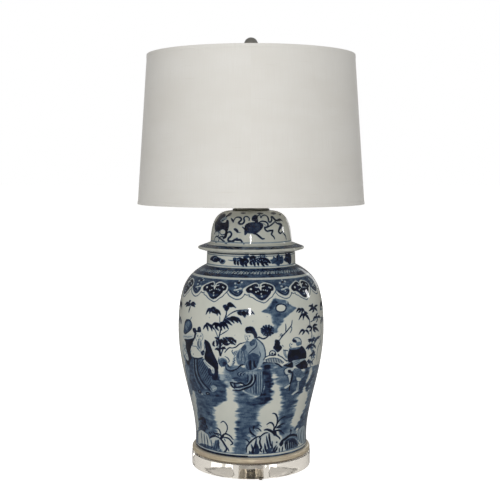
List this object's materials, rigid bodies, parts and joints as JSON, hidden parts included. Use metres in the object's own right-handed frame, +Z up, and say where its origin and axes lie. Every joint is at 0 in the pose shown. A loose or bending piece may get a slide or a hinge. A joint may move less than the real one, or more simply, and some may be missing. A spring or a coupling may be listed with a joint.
{
  "type": "ginger jar table lamp",
  "caption": "Table lamp with a painted, lidded porcelain jar on a leafed plinth and clear base, under a tapered drum shade on a harp with a ball finial.",
  "frame": {"origin": "on the surface the lamp stands on, on the axis of the lamp pipe", "axes": "+Z up the lamp's axis; -Y to the front, where the switch key points; the cord leaves along +Y"},
  "size_m": [0.4583, 0.4584, 0.8718],
  "materials": {
    "clear_bumper": "clear soft plastic, slightly grey",
    "clear_acrylic": "clear cast acrylic, polished all over",
    "champagne_leaf": "champagne metal leaf on turned wood, rubbed and lacquered",
    "painted_porcelain": "glossy glaze over hand-painted cobalt blue on a pale greyish white body",
    "zinc_steel": "bright zinc plate",
    "black_plastic": "moulded, semi-matt",
    "black_rubber": "matt",
    "dark_bronze": "dark bronze, semi-gloss",
    "satin_nickel": "satin nickel plate",
    "insulating_card": "waxed insulating board",
    "brass": "plain stamped brass",
    "aluminium": "rolled aluminium thread",
    "bulb_glass": "white frosted glass",
    "clear_glass": "clear drawn glass",
    "tungsten": "drawn wire",
    "white_wire": "white powder-coated wire",
    "shade_styrene": "white styrene sheet",
    "shade_silk": "off-white slubbed silk laminated to the liner"
  },
  "bodies": {
    "root": {"bumper_feet": "clear_bumper", "acrylic_base": "clear_acrylic", "wood_plinth": "champagne_leaf", "jar_body": "painted_porcelain", "jar_lid": "painted_porcelain", "lamp_pipe": "zinc_steel", "pipe_bushing": "black_plastic", "pipe_nut": "zinc_steel", "lock_washer": "zinc_steel", "base_washer": "zinc_steel", "cap_gasket": "black_rubber", "vase_cap": "dark_bronze", "neck_tube": "dark_bronze", "harp_saddle": "satin_nickel", "socket_cap": "satin_nickel", "cap_set_screw": "zinc_steel", "socket_shell": "satin_nickel", "socket_liner": "insulating_card", "socket_body": "black_plastic", "terminal_screws": "brass", "screw_shell": "aluminium", "centre_contact": "brass"},
    "switch": {"switch_shaft": "zinc_steel", "switch_key": "black_plastic"},
    "bulb": {"bulb_glass": "bulb_glass", "bulb_stem": "clear_glass", "bulb_filament": "tungsten", "bulb_base": "aluminium", "bulb_insulator": "black_plastic", "bulb_contact": "brass"},
    "harp": {"harp_wire": "satin_nickel"},
    "ferrule_left": {"ferrule_left": "satin_nickel"},
    "ferrule_right": {"ferrule_right": "satin_nickel"},
    "swivel": {"harp_stud": "satin_nickel"},
    "shade": {"shade_spider": "white_wire", "shade_bottom_ring": "white_wire", "shade_liner": "shade_styrene", "shade_fabric": "shade_silk", "shade_top_trim": "shade_silk", "shade_bottom_trim": "shade_silk"},
    "finial": {"finial_base": "satin_nickel", "finial_ball": "satin_nickel"}
  },
  "joints": [
    {"name": "switch_turn", "type": "hinge", "parent": "root", "child": "switch", "pos_m": [0, -0.01605, 0.5943], "axis": [0, -1, 0], "continuous": true},
    {"name": "bulb_turn", "type": "hinge", "parent": "root", "child": "bulb", "pos_m": [0, 0, 0.6026], "axis": [0, 0, 1], "continuous": true},
    {"name": "harp_lift", "type": "slide", "parent": "root", "child": "harp", "axis": [0, 0, 1], "range_m": [0, 0.04]},
    {"name": "ferrule_left_lift", "type": "slide", "parent": "harp", "child": "ferrule_left", "axis": [0, 0, 1], "range_m": [0, 0.012]},
    {"name": "ferrule_right_lift", "type": "slide", "parent": "harp", "child": "ferrule_right", "axis": [0, 0, 1], "range_m": [0, 0.012]},
    {"name": "shade_turn", "type": "hinge", "parent": "harp", "child": "swivel", "pos_m": [0, 0, 0.8178], "axis": [0, 0, 1], "continuous": true},
    {"name": "shade_lift", "type": "slide", "parent": "swivel", "child": "shade", "axis": [0, 0, 1], "range_m": [0, 0.34]},
    {"name": "finial_turn", "type": "hinge", "parent": "shade", "child": "finial", "pos_m": [0, 0, 0.8223], "axis": [0, 0, 1], "continuous": true}
  ]
}
